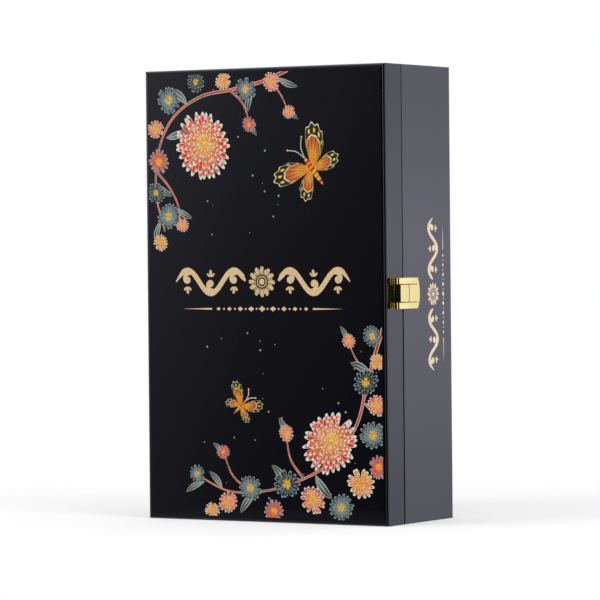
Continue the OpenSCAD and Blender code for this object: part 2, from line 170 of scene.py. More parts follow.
def put_mesh(name, points, faces, ink=None, smooth=False):
    """An object made from whole arrays: points (n, 3) in metres, faces (m, 3 or 4) of numbers
    of points, and if given the ink (n, 3), a colour at each point."""
    mesh = bpy.data.meshes.new(name)
    corners = faces.shape[1]
    mesh.vertices.add(len(points))
    mesh.vertices.foreach_set("co", np.asarray(points, np.float32).ravel())
    mesh.loops.add(faces.size)
    mesh.loops.foreach_set("vertex_index", faces.astype(np.int32).ravel())
    mesh.polygons.add(len(faces))
    mesh.polygons.foreach_set("loop_start", np.arange(0, faces.size, corners, dtype=np.int32))
    mesh.polygons.foreach_set("loop_total", np.full(len(faces), corners, np.int32))
    mesh.update(calc_edges=True)
    if ink is not None:
        layer = mesh.color_attributes.new("ink", "FLOAT_COLOR", "POINT")
        rgba = np.ones((len(points), 4), np.float32)
        rgba[:, :3] = ink
        layer.data.foreach_set("color", rgba.ravel())
    if smooth:
        mesh.polygons.foreach_set("use_smooth", np.ones(len(faces), bool))
    made = bpy.data.objects.new(name, mesh)
    bpy.context.scene.collection.objects.link(made)
    return made


def grid_faces(rows, columns, close=False):
    """The four-sided faces of a grid of rows by columns points, numbered row by row. Closed, the
    last column joins the first."""
    row, column = np.meshgrid(np.arange(rows - 1), np.arange(columns - (not close)),
                              indexing="ij")
    following = (column + 1) % columns
    return np.stack([row * columns + column, row * columns + following,
                     (row + 1) * columns + following, (row + 1) * columns + column],
                    axis=-1).reshape(-1, 4)


def on_piece(tree):
    """The place on the piece, in its own coordinates."""
    return node(tree, "ShaderNodeTexCoord").outputs["Object"]


paper_reach, paper_rings, paper_spokes = 0.8, 40, 96
ring, spoke = np.meshgrid(np.linspace(0, 1, paper_rings) ** 1.5,
                          np.linspace(0, 2 * math.pi, paper_spokes, endpoint=False),
                          indexing="ij")
paper_points = np.stack([ring * paper_reach * np.cos(spoke), ring * paper_reach * np.sin(spoke),
                         np.zeros_like(ring)], axis=-1).reshape(-1, 3)
paper = put_mesh("paper", paper_points, grid_faces(paper_rings, paper_spokes, close=True))
white_paper = bpy.data.materials.new("white_paper")
white_paper.use_nodes = True
sheet = white_paper.node_tree
sheet.nodes.clear()
card = node(sheet, "ShaderNodeBsdfPrincipled",
            {"Base Color": (0.98, 0.98, 0.98, 1), "Roughness": 0.9, "Specular IOR Level": 0.0})
from_middle = node(sheet, "ShaderNodeVectorMath", {0: on_piece(sheet)},
                   operation="LENGTH").outputs["Value"]
seen = ramp(sheet, from_middle, [(0.0, 0.6), (0.22, 0.6), (0.6, 0.0)], smooth=True)
mirrored = ramp(sheet, from_middle, [(0.0, 0.12), (0.12, 0.12), (0.22, 0.0)])
in_mirror = node(sheet, "ShaderNodeLightPath").outputs["Is Glossy Ray"]
blend = node(sheet, "ShaderNodeMixShader",
             {0: mixed(sheet, in_mirror, seen, mirrored),
              1: node(sheet, "ShaderNodeBsdfTransparent").outputs[0], 2: card.outputs[0]})
node(sheet, "ShaderNodeOutputMaterial", {"Surface": blend.outputs[0]})
paper.data.materials.append(white_paper)

# The case: four walls and a back of fibreboard, glued at the corners, then sprayed with black
# lacquer and buffed. It has the spray's faint waves, specks of dust and hair-fine scratches, and
# on its sides at the seam a line of painted shade for the gap between case and lid: matt and
# without coat, it widens towards the bottom.


def group(name, inputs, outputs):
    """A new shader node group on numbers. Gives its tree, its inputs and its output node."""
    tree = bpy.data.node_groups.new(name, "ShaderNodeTree")
    for direction, labels in (("INPUT", inputs), ("OUTPUT", outputs)):
        for label in labels:
            tree.interface.new_socket(label, in_out=direction, socket_type="NodeSocketFloat")
    return tree, node(tree, "NodeGroupInput").outputs, node(tree, "NodeGroupOutput")


def mask(name):
    """A group that gives a share by place. Gives its tree, the place's x, y and z, and its
    output node."""
    tree, _, result = group(name, [], ["share"])
    return tree, node(tree, "ShaderNodeSeparateXYZ", {0: on_piece(tree)}).outputs, result


def placed(tree, effect, **values):
    """A group set into a material, with its inputs' values. Gives its outputs."""
    return node(tree, "ShaderNodeGroup", values, node_tree=effect).outputs


def noise(tree, place, scale, detail, distortion=0.0):
    """Noise of a scale over a place. Gives its level."""
    return node(tree, "ShaderNodeTexNoise", {"Vector": place, "Scale": scale, "Detail": detail,
                                             "Distortion": distortion}).outputs["Fac"]


def stretched(tree, scale, turn=(0.0, 0.0, 0.0)):
    """The place on the piece, turned and scaled by axis, for grain that runs one way."""
    return node(tree, "ShaderNodeMapping", {"Vector": on_piece(tree), "Rotation": turn,
                                            "Scale": scale}).outputs[0]


def bump(tree, height, strength, depth):
    """A Bump node on a height, of a depth in metres. Gives its normal."""
    return node(tree, "ShaderNodeBump", {"Height": height, "Strength": strength,
                                         "Distance": depth}).outputs[0]


def finish_of(name):
    """A material with a Principled shader. Gives the material, its tree and the shader."""
    made = bpy.data.materials.new(name)
    made.use_nodes = True
    tree = made.node_tree
    return made, tree, tree.nodes["Principled BSDF"]


def dress(piece, material):
    """Puts one material on every face of a piece."""
    piece.data.materials.clear()
    piece.data.materials.append(material)


sprayed, given, result = group("sprayed_surface", ["waves", "dust"],
                               ["height", "specks", "scratches"])
where = on_piece(sprayed)
waves = sums(sprayed, "MULTIPLY_ADD", noise(sprayed, where, 420.0, 1.0), 0.12,
             noise(sprayed, where, 90.0, 2.0))
speck = node(sprayed, "ShaderNodeTexVoronoi", {"Vector": where, "Scale": 260.0}).outputs
lot = node(sprayed, "ShaderNodeSeparateColor", {0: speck["Color"]}).outputs
chosen = sums(sprayed, "LESS_THAN", lot[0], given["dust"])
small = sums(sprayed, "LESS_THAN", speck["Distance"],
             sums(sprayed, "MULTIPLY_ADD", lot[1], 0.09, 0.03))
hairline = noise(sprayed, stretched(sprayed, (30.0, 900.0, 900.0), (0.3, 0.5, 0.2)), 1.0, 3.0)
wire(result, {"height": sums(sprayed, "MULTIPLY", waves, given["waves"]),
              "specks": sums(sprayed, "MULTIPLY", chosen, small),
              "scratches": ramp(sprayed, hairline, [(0.68, 0.0), (0.74, 1.0)])})

# The seam's painted shade: a matt line without coat on the sides, darker than the gloss round it.
shade_line_foot, shade_line_top = 0.17, 0.27                       # heights between which the line narrows
shade_line_wide, shade_line_narrow = 0.00095, 0.00012              # half its width below and above them
skin = 0.0007                                          # depth of the outer face that it is on
seam = (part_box("lid_latch_rail")[1].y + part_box("case_latch_wall")[0].y) / 2
seam_shade_tree, (x, y, z), result = mask("painted_seam_shade")
shade_half_width = node(seam_shade_tree, "ShaderNodeMapRange",
                 {"Value": z, "From Min": shade_line_foot, "From Max": shade_line_top, "To Min": shade_line_wide,
                  "To Max": shade_line_narrow}).outputs[0]
by_seam = sums(seam_shade_tree, "LESS_THAN",
               sums(seam_shade_tree, "ABSOLUTE", sums(seam_shade_tree, "SUBTRACT", y, seam)), shade_half_width)
outside = sums(seam_shade_tree, "GREATER_THAN", sums(seam_shade_tree, "ABSOLUTE", x),
               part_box("case_latch_wall")[1].x - skin)
wire(result, {"share": sums(seam_shade_tree, "MULTIPLY", by_seam, outside)})

lacquer_black, dust_grey = (0.0012, 0.0012, 0.0020, 1), (0.05, 0.05, 0.055, 1)
wave_depth, coat_roughness = 0.000006, 0.02


def lacquer(name, coat, gloss):
    """Black lacquer, of the given gloss, under a clear coat of the given weight. At the seam a line
    of painted shade is rough, and has no coat."""
    made, tree, shader = finish_of(name)
    film = placed(tree, sprayed, waves=1.0, dust=0.05)
    # the share of the seam's painted shade
    seam_shading = placed(tree, seam_shade_tree)["share"]
    rough = sums(tree, "MULTIPLY_ADD", film["scratches"], 0.12, 0.15)
    normal = bump(tree, film["height"], 1.0, wave_depth)
    wire(shader, {"Base Color": mixed(tree, film["specks"], lacquer_black, dust_grey),
                  "Specular IOR Level": gloss, "Specular Tint": (0.66, 0.69, 1.0, 1),
                  "Roughness": sums(tree, "MAXIMUM", rough, seam_shading),
                  "Coat Weight": sums(tree, "MULTIPLY", sums(tree, "SUBTRACT", 1.0, seam_shading), coat),
                  "Coat Roughness": coat_roughness, "Normal": normal, "Coat Normal": normal})
    return made


case_lacquer = lacquer("case_lacquer", 0.87, 0.45)
for name in ("back_panel", "case_hinge_wall", "case_latch_wall", "case_top_wall",
             "case_bottom_wall"):
    dress(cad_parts[name], case_lacquer)

# The bottle tray: a block of foam with the places of two bottles and a finger hollow pressed
# into it, sprayed with glue and covered with short black flock, so that every edge is soft.
# It is pushed into the case and glued to its back.
weld_distance, flat_angle = 0.000002, math.radians(0.6)
flock_voxel, flock_softening = 0.0018, 5

def welded(name, source):
    """A copy of a CAD node's mesh, its loose triangles merged and its flat faces made whole."""
    mesh = source.data
    points = np.empty(len(mesh.vertices) * 3, np.float32)
    mesh.vertices.foreach_get("co", points)
    corners = np.empty(len(mesh.loops), np.int32)
    mesh.loops.foreach_get("vertex_index", corners)
    made = put_mesh(name, points.reshape(-1, 3), corners.reshape(-1, 3))
    shell = bmesh.new()
    shell.from_mesh(made.data)
    bmesh.ops.remove_doubles(shell, verts=shell.verts, dist=weld_distance)
    bmesh.ops.dissolve_limit(shell, angle_limit=flat_angle, verts=shell.verts,
                             edges=shell.edges)
    shell.to_mesh(made.data)
    shell.free()
    return made


def settled(piece):
    """Makes a piece's modifiers part of its mesh."""
    bpy.context.view_layer.update()
    finished = piece.evaluated_get(bpy.context.evaluated_depsgraph_get())
    mesh = bpy.data.meshes.new_from_object(finished)
    piece.modifiers.clear()
    piece.data = mesh


tray = welded("flocked_tray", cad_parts["bottle_tray"])
cells = tray.modifiers.new("cells", "REMESH")
cells.mode = "VOXEL"
cells.voxel_size = flock_voxel
cells.use_smooth_shade = True
soften = tray.modifiers.new("soften", "SMOOTH")
soften.factor = 0.5
soften.iterations = flock_softening
settled(tray)

made, tree, shader = finish_of("black_flock")
place = on_piece(tree)
fibre, nap = noise(tree, place, 3200.0, 2.0), noise(tree, place, 26.0, 3.0, 0.6)
tone = sums(tree, "MULTIPLY_ADD", nap, 0.55, sums(tree, "MULTIPLY", fibre, 0.45))
wire(shader, {"Base Color": ramp(tree, tone, [(0.25, (0.006, 0.006, 0.007)),
                                              (0.75, (0.026, 0.026, 0.029))]),
              "Roughness": 1.0, "Specular IOR Level": 0.1, "Sheen Weight": 0.35,
              "Sheen Roughness": 0.5, "Sheen Tint": (0.60, 0.60, 0.66, 1),
              "Normal": bump(tree, fibre, 0.7, 0.0003)})
dress(tray, made)
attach(tray, "case")
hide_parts("bottle_tray")

# The lid: a front board whose face has a 3 mm rounding all round, on four rails. Its lacquer is
# the case's with less coat and gloss, so its sides look a shade darker: painted shade, for the
# less light that they reflect.
# Painted shade: the lid's lacquer is a darker copy of the case's.
lid_lacquer_painted_darker = lacquer("lid_lacquer_painted_darker", 0.68, 0.34)
for name in ("front_panel", "lid_hinge_rail", "lid_latch_rail", "lid_top_rail",
             "lid_bottom_rail"):
    dress(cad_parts[name], lid_lacquer_painted_darker)

# The lid's lining: champagne satin drawn over soft padding and glued round behind a stiff grey
# board, which is pressed into the lid. The satin is a little slack, so it ripples softly.
made, tree, shader = finish_of("grey_board")
pulp = noise(tree, on_piece(tree), 1500.0, 4.0)
wire(shader, {"Base Color": ramp(tree, pulp, [(0.3, (0.25, 0.22, 0.17)),
                                              (0.7, (0.38, 0.34, 0.27))]),
              "Roughness": 0.9, "Normal": bump(tree, pulp, 0.4, 0.0001)})
dress(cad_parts["lid_lining_board"], made)

pad_low, pad_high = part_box("lid_pad")
pad_middle = [(pad_low[i] + pad_high[i]) / 2 for i in range(3)]
pad_width, pad_height = pad_high.x - pad_low.x, pad_high.z - pad_low.z
glued_y, crown_y = pad_low.y, pad_high.y
pad_columns, pad_rows, rim_rings = 47, 77, 5
pad_inset, pad_start, rim_round = 0.0006, 0.0050, 0.0030   # the satin before it fills
least_depth, clearance = 0.00005, 0.0001               # over the board, and inside the solid
held_depth, fill_frames = 0.0015, 20                   # what is glued, and the time it fills in


def pad_cover():
    """The satin before it fills: a flat sheet of columns by rows in front, whose edges turn
    down in a quarter circle to a flat sheet of the same steps behind. Gives points and faces."""
    half_w, half_h = pad_width / 2 - pad_inset, pad_height / 2 - pad_inset
    across, up = np.meshgrid(np.linspace(-1, 1, pad_columns), np.linspace(-1, 1, pad_rows))
    number = np.arange(pad_rows * pad_columns).reshape(pad_rows, pad_columns)
    border = np.concatenate([number[0, :-1], number[:-1, -1], number[-1, :0:-1],
                             number[:0:-1, 0]])
    shapes = []
    for turned in np.linspace(0, math.pi / 2, rim_rings + 1):
        reach = rim_round * math.sin(turned) - rim_round
        depth = pad_start - rim_round * (1 - math.cos(turned))
        shapes.append(np.stack([pad_middle[0] + across * (half_w + reach),
                                np.full_like(across, glued_y + depth),
                                pad_middle[2] + up * (half_h + reach)], -1).reshape(-1, 3))
    foot = shapes[-1] * (1, 0, 1) + (0, glued_y + clearance, 0)
    points = np.vstack([shapes[0]] + [ring[border] for ring in shapes[1:]] + [foot[border], foot])
    rings = len(shapes[0]) + np.arange((rim_rings + 1) * len(border)).reshape(rim_rings + 1, -1)
    rings = np.vstack([border, rings])
    following = np.roll(rings, -1, axis=1)
    sides = np.stack([rings[:-1], rings[1:], following[1:], following[:-1]], -1).reshape(-1, 4)
    front = grid_faces(pad_rows, pad_columns)
    return points, np.vstack([front, sides, front[:, ::-1] + len(points) - len(foot)])


pad = put_mesh("satin_pad", *pad_cover(), smooth=True)
shell = bmesh.new()
shell.from_mesh(pad.data)
bmesh.ops.remove_doubles(shell, verts=shell.verts, dist=1e-6)
bmesh.ops.recalc_face_normals(shell, faces=shell.faces)
shell.to_mesh(pad.data)
shell.free()
rest = np.empty(len(pad.data.vertices) * 3, np.float32)
pad.data.vertices.foreach_get("co", rest)
glued = np.flatnonzero(rest.reshape(-1, 3)[:, 1] < glued_y + held_depth)
held = pad.vertex_groups.new(name="held")
held.add(glued.tolist(), 1.0, "REPLACE")
fill = pad.modifiers.new("fill", "CLOTH")
for name, value in {"quality": 5, "mass": 0.15, "tension_stiffness": 12,
                    "compression_stiffness": 12, "shear_stiffness": 4,
                    "bending_stiffness": 0.15, "shrink_min": -0.012,
                    "vertex_group_mass": "held", "use_pressure": True,
                    "uniform_pressure_force": 0.3}.items():
    setattr(fill.settings, name, value)
fill.settings.effector_weights.gravity = 0.0
fill.collision_settings.use_collision = False
for moment in range(1, fill_frames + 1):
    bpy.context.scene.frame_set(moment)
settled(pad)
bpy.context.scene.frame_set(1)
filled = np.empty(len(pad.data.vertices) * 3, np.float32)
pad.data.vertices.foreach_get("co", filled)
filled = filled.reshape(-1, 3)
deep, room = filled[:, 1] - glued_y, crown_y - glued_y
filled[:, 1] = glued_y + np.clip(deep * min(1.0, room / deep.max()), least_depth, room)
filled[:, 0] = np.clip(filled[:, 0], pad_low.x + clearance, pad_high.x - clearance)
filled[:, 2] = np.clip(filled[:, 2], pad_low.z + clearance, pad_high.z - clearance)
pad.data.vertices.foreach_set("co", filled.ravel())
pad.data.update()
finer = pad.modifiers.new("finer", "SUBSURF")
finer.levels = finer.render_levels = 1

made, tree, shader = finish_of("champagne_satin")
threads = noise(tree, stretched(tree, (2600.0, 400.0, 220.0)), 1.0, 2.0)
shimmer = noise(tree, on_piece(tree), 40.0, 2.0)
tone = sums(tree, "MULTIPLY_ADD", threads, 0.6, sums(tree, "MULTIPLY", shimmer, 0.4))
wire(shader, {"Base Color": ramp(tree, tone, [(0.3, (0.50, 0.37, 0.18)),
                                              (0.7, (0.80, 0.66, 0.42))]),
              "Roughness": 0.38, "Sheen Weight": 0.4, "Sheen Roughness": 0.3,
              "Sheen Tint": (1.0, 0.90, 0.70, 1),
              "Normal": bump(tree, threads, 0.35, 0.00008)})
dress(pad, made)
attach(pad, "lid")
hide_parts("lid_pad")

# The print on the lid's face: two sprays of flowers and two butterflies, screen printed in
# coral, orange, gold and silver inks with fine pale outlines, and buried under the clear coat.
# Each flower, leaf, stem and wing is a flat film of ink, a few hundredths of a millimetre deep.
face_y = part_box("front_panel")[0].y * 1000             # millimetres, as all of the print
print_x, print_z = (-108.0, 108.0), (4.0, 356.0)
film_t, film_step = 0.03, 0.0025                       # of the lowest ink, and of each above
coral, brick, orange = (0.86, 0.075, 0.045), (0.40, 0.045, 0.022), (0.84, 0.25, 0.05)
gold, lemon, pink = (0.78, 0.47, 0.085), (0.82, 0.68, 0.12), (0.63, 0.27, 0.25)
silver, pale, night = (0.25, 0.32, 0.32), (0.70, 0.72, 0.62), (0.004, 0.007, 0.010)
chance = np.random.default_rng(7)
films = []                                             # (points, ink, faces) of each shape


def lay(across, up, ink, lift, close=False):
    """Adds one shape, or many of a kind, to the print: arrays of places across and up the face
    over (kinds, rows, columns), the ink at each, and the film that each kind lies on."""
    kinds, rows, columns = across.shape
    depth = face_y - film_t - film_step * np.reshape(lift, (-1, 1, 1))
    points = np.stack([across, np.broadcast_to(depth, across.shape), up], axis=-1)
    faces = grid_faces(rows, columns, close=close)
    faces = faces[None] + (np.arange(kinds) * rows * columns)[:, None, None]
    films.append((points.reshape(-1, 3), np.broadcast_to(ink, points.shape).reshape(-1, 3),
                  faces.reshape(-1, 4)))


def between(first, second, share):
    """The ink that is share of the way from the first ink to the second."""
    share = np.asarray(share)[..., None]
    return np.asarray(first) * (1 - share) + np.asarray(second) * share


def petals(centre, reach, count, width, root_ink, tip_ink, edge_ink, lift, inner=0.12, turn=0.0,
           uneven=0.05, tilt=(1.0, 0.0), edge=0.72, blunt=4.0, thin=False):
    """A ring of petals. At a share u of its length, a petal's half width is the reach times
    width * u^0.6 * (1 - u^blunt)^0.5; the ring is then squeezed by tilt[0] along the direction
    tilt[1]. Ink runs from root to tip and has an edging. Thin petals have fewer points."""
    along = np.array([0, .1, .3, .5, .68, .82, .91, .965, 1.0])
    sideways = np.array([-1, -edge - .06, -edge, 0, edge, edge + .06, 1])
    if thin:
        along, sideways = np.array([0, .2, .5, .8, .95, 1.0]), np.array([-1, -.4, .4, 1])
    angle = (turn + 2 * math.pi * np.arange(count) / count
             + chance.normal(0, uneven, count))[:, None, None]
    length = reach * (1 - 1.6 * uneven * chance.random(count))[:, None, None]
    bend = chance.normal(0, 0.05, count)[:, None, None] * length
    u, v = along[None, :, None], sideways[None, None, :]
    out = length * (inner + (1 - inner) * u)
    half = width * reach * u ** 0.6 * np.sqrt(np.maximum(1 - u ** blunt, 0))
    off = v * half + bend * u ** 2
    x, z = out * np.cos(angle) - off * np.sin(angle), out * np.sin(angle) + off * np.cos(angle)
    squeeze, lean = tilt
    down = (x * math.cos(lean) + z * math.sin(lean)) * (squeeze - 1)
    x, z = x + down * math.cos(lean), z + down * math.sin(lean)
    shade = np.clip(u * (1.15 - 0.3 * np.abs(v)) + chance.normal(0, 0.08, count)[:, None, None],
                    0, 1)
    ink = between(root_ink, tip_ink, shade)
    ink = ink * (1 - 0.22 * np.exp(-(v / 0.2) ** 2) * u)[..., None]
    rim = np.broadcast_to((np.abs(v) > edge + 0.03) | (u > 0.9), shade.shape)[..., None]
    ink = np.where(rim, np.asarray(edge_ink), ink)
    lay(centre[0] + x, centre[1] + z, ink, lift + np.arange(count) % 4)


def dots(places, radii, ink, lift):
    """Small round dots: rings of a growing radius round each place."""
    places, radii = np.atleast_2d(places), np.atleast_1d(radii)[:, None, None]
    ring = np.array([0.02, 0.55, 1.0])[None, :, None]
    spoke = (2 * math.pi * np.arange(12) / 12)[None, None, :]
    lay(places[:, 0, None, None] + radii * ring * np.cos(spoke),
        places[:, 1, None, None] + radii * ring * np.sin(spoke), ink, lift, close=True)


def through(points, steps=14):
    """A smooth path through points: from each to the next runs the cubic whose slope at both is
    half the way from the point before to the point after."""
    points = np.asarray(points, float)
    ends = np.vstack([2 * points[0] - points[1], points, 2 * points[-1] - points[-2]])
    slope = (ends[2:] - ends[:-2]) / 2
    t = np.linspace(0, 1, steps, endpoint=False)[None, :, None]
    a, b, p, q = (k[:, None] for k in (points[:-1], points[1:], slope[:-1], slope[1:]))
    path = (a * (2 * t ** 3 - 3 * t ** 2 + 1) + p * (t ** 3 - 2 * t ** 2 + t)
            + b * (3 * t ** 2 - 2 * t ** 3) + q * (t ** 3 - t ** 2))
    return np.vstack([path.reshape(-1, 2), points[-1:]])


def ribbon(path, half, columns, inks, lift):
    """A flat ribbon: each point of a path, moved to either side by its half width there times
    the columns' shares; inks gives a colour for each point and column."""
    way = np.gradient(path, axis=0)
    way = way / np.linalg.norm(way, axis=1, keepdims=True)
    side = np.stack([-way[:, 1], way[:, 0]], axis=1)
    place = path[:, None] + side[:, None] * (half[:, None] * columns[None])[..., None]
    lay(place[None, ..., 0], place[None, ..., 1], inks[None], lift)


def stem(points, thick, thin, lift):
    """A tapering twig with a pale edge, from thick to thin, drawn through points. Its colour
    goes back and forth along it as a sine."""
    path = through(points)
    share = np.linspace(0, 1, len(path))
    columns = np.array([-1, -.72, -.6, 0, .6, .72, 1])
    ink = between(coral, brick, 0.5 + 0.5 * np.sin(share * 19)[:, None] * np.ones(len(columns)))
    ink = np.where((np.abs(columns) > 0.65)[None, :, None], np.asarray(pale) * 0.8, ink)
    ribbon(path, (thick + (thin - thick) * share) / 2, columns, ink, lift)


def leaf(root, angle, length, width, lift):
    """A slender leaf: a path that turns steadily, as wide along it as a sine to the power 0.8,
    with a pale vein and edge."""
    u = np.linspace(0, 1, 18)
    heading = angle + 0.5 * (u - 0.3)
    step = length / (len(u) - 1)
    path = np.asarray(root) + np.cumsum(np.stack([np.cos(heading), np.sin(heading)], 1) * step,
                                        axis=0)
    columns = np.array([-1, -.82, -.76, -.12, -.07, .07, .12, .76, .82, 1])
    ink = between(silver, night, np.clip(u[:, None] * 1.3 * np.ones(len(columns)), 0, 1))
    marked = (np.abs(columns) > 0.8) | (np.abs(columns) < 0.1)
    ink = np.where(marked[None, :, None], np.asarray(pale) * 0.75, ink)
    ribbon(path, width / 2 * np.sin(math.pi * np.clip(u, 0.003, 0.997)) ** 0.8, columns, ink,
           lift)


def needles(centre, reach, count, ink, tip_ink, lift):
    """The spiky middle of a flower: thin petals of uneven length, and grains of pollen."""
    petals(centre, reach, count, 0.10, ink, tip_ink, tip_ink, lift, inner=0.0, uneven=0.18,
           turn=chance.random() * 6, blunt=8.0, thin=True)
    grains = 14
    spread = chance.normal(0, reach * 0.24, (grains, 2))
    dots(np.asarray(centre) + spread, reach * (0.06 + 0.05 * chance.random(grains)),
         orange, lift + 5 + np.arange(grains) % 3)


def aster(x, z, reach, kind, lift, lean):
    """One small flower: sixteen narrow petals, twelve shorter ones over them and a spiky middle,
    in one of five colourings."""
    root, tip, rim = {"coral": (orange, coral, pale), "gold": (coral, gold, pale),
                      "pink": (coral, pink, silver), "silver": (silver, night, silver),
                      "shadow": (night, night, silver)}[kind]
    petals((x, z), reach, 16, 0.17, root, tip, rim, lift, turn=lean, tilt=(0.9, lean))
    petals((x, z), reach * 0.66, 12, 0.16, root, between(root, tip, 0.6), rim, lift + 5,
           turn=lean + 0.2, tilt=(0.9, lean))
    needles((x, z), reach * 0.36, 20, lemon, gold, lift + 10)


def bloom(x, z, reach, lift, lean):
    """A large many-petalled flower: six rings of petals, each shorter and paler than the last."""
    rings = [(1.0, 28, 0.105, brick, coral), (0.86, 24, 0.115, brick, coral),
             (0.71, 20, 0.125, brick, orange), (0.56, 20, 0.13, coral, orange),
             (0.41, 16, 0.15, coral, gold), (0.27, 12, 0.18, orange, lemon)]
    for number, (share, count, width, root, tip) in enumerate(rings):
        petals((x + number * 0.3, z + number * 0.4), reach * share, count, width, root, tip,
               pale, lift + 5 * number, turn=number * 0.11, tilt=(0.88, lean), edge=0.8,
               uneven=0.03)
    dots((x + 1.8, z + 2.2), reach * 0.06, lemon, lift + 32)


def wing(hinge, angle, reach, open_by, peak, scallops, lift):
    """A butterfly's wing, spread like a fan about its hinge: at a share t of the fan its reach
    is t^peak (1 - t)^0.45, scaled to one at its longest, with a scalloped margin. The ink
    changes outwards, from gold scales through a brick band to a dark margin of pale spots."""
    t = np.linspace(0.004, 0.996, 85)[None, :, None]
    r = np.concatenate([np.linspace(0, 0.6, 9), np.linspace(0.64, 1, 19)])[None, None, :]
    longest = (t ** peak * (1 - t) ** 0.45).max()
    out = reach * t ** peak * (1 - t) ** 0.45 / longest * r
    out = out * (1 + 0.035 * np.cos(2 * math.pi * scallops * t) * r ** 4)
    turn = angle + (t - 0.5) * open_by
    ribs = np.exp(-(np.abs((t * scallops + 0.5) % 1 - 0.5) / 0.10) ** 2)
    speckle = 0.5 + 0.5 * np.sin(t * 310) * np.sin(r * 61)
    ink = between(brick, orange, np.clip(1.2 - 1.5 * r + 0.35 * speckle, 0, 1))
    ink = between(ink, gold, (0.75 * np.exp(-((r - 0.36) / 0.13) ** 2) * (0.4 + speckle)
                              ).clip(0, 1))
    ink = between(ink, night, (0.85 * ribs * (r > 0.2)).clip(0, 1))
    margin = np.broadcast_to((r > 0.74) & (r < 0.97), ink.shape[:-1])
    spots = margin & (np.abs((t * scallops) % 1 - 0.5) < 0.17) & (np.abs(r - 0.855) < 0.05)
    ink = np.where(margin[..., None], np.asarray(night), ink)
    ink = np.where(spots[..., None], np.asarray(lemon), ink)
    rim = np.broadcast_to((r >= 0.97) | ((r > 0.70) & (r <= 0.74)), ink.shape[:-1])
    ink = np.where(rim[..., None], between(pale, gold, 0.35), ink)
    lay(hinge[0] + out * np.cos(turn), hinge[1] + out * np.sin(turn), ink, lift)


def butterfly(x, z, size, turn, lift):
    """Two fore wings, two hind wings, a banded body and two feelers. The body's half width is a
    sine to the power 0.5 along it, a little wider towards the head."""
    middle = np.array([x, z])
    for side in (1, -1):
        wing(middle, turn + side * 2.02, size * 0.40, 1.15, 0.9, 6, lift)
        wing(middle, turn + side * 0.92, size * 0.56, 1.15, 1.0, 7, lift + 3)
    ahead = np.array([math.cos(turn), math.sin(turn)])
    aside = np.array([-ahead[1], ahead[0]])
    share = np.linspace(0.01, 0.99, 24)
    body = middle + np.linspace(-0.26, 0.17, len(share))[:, None] * size * ahead
    half = size * 0.034 * np.sin(math.pi * share) ** 0.5 * (0.75 + 0.5 * share)
    ink = between(gold, brick, 0.5 + 0.5 * np.sign(np.sin(share * 46))[:, None] * np.ones(5))
    ribbon(body, half, np.array([-1, -.6, 0, .6, 1]), ink, lift + 6)
    for side in (1, -1):
        tip = middle + size * (0.40 * ahead + side * 0.13 * aside)
        bow = middle + size * (0.30 * ahead + side * 0.04 * aside)
        feeler = through([middle + size * 0.16 * ahead, bow, tip])
        ribbon(feeler, np.full(len(feeler), 0.28), np.array([-1.0, 1.0]),
               np.broadcast_to(pale, (len(feeler), 2, 3)), lift + 6)
        dots(tip, 0.8, gold, lift + 7)


stem([(24, 357), (2, 349), (-28, 343), (-58, 338), (-84, 322), (-98, 296), (-101, 262),
      (-93, 231)], 3.2, 1.2, 0)
stem([(-30, 343), (-18, 332), (-12, 318)], 2.0, 0.9, 1)
stem([(-99, 278), (-88, 266), (-80, 252), (-78, 238)], 2.0, 0.9, 1)
stem([(4, 350), (16, 340), (24, 326)], 1.8, 0.8, 1)
stem([(109, 154), (101, 132), (93, 106), (84, 78), (62, 50), (32, 34), (0, 25), (-34, 24),
      (-64, 36)], 3.4, 1.2, 0)
stem([(36, 35), (24, 50), (20, 68)], 2.2, 0.9, 1)
stem([(-14, 24), (-30, 36), (-38, 52)], 1.9, 0.8, 1)
stem([(98, 120), (86, 128), (78, 142)], 1.9, 0.8, 1)
for root, angle, length, width in [
        ((14, 352), -0.5, 20, 5), ((-8, 347), -1.9, 22, 6), ((-70, 331), 2.3, 20, 6),
        ((-92, 306), 0.2, 20, 6), ((-101, 270), -0.7, 18, 5), ((-96, 240), -2.0, 18, 5),
        ((-82, 250), -0.6, 17, 5), ((-12, 320), -1.2, 15, 4), ((24, 328), -0.9, 13, 4),
        ((98, 118), 2.6, 20, 6), ((90, 96), -0.3, 20, 6), ((74, 62), 2.7, 22, 6),
        ((46, 40), -1.0, 24, 7), ((20, 30), 2.2, 20, 6), ((-8, 24), -2.4, 22, 6),
        ((-40, 25), 2.2, 18, 5), ((-56, 31), -2.8, 20, 5), ((20, 68), 1.9, 16, 5),
        ((-38, 52), 2.3, 14, 4), ((78, 142), 2.0, 15, 4)]:
    leaf(root, angle, length, width, 4)
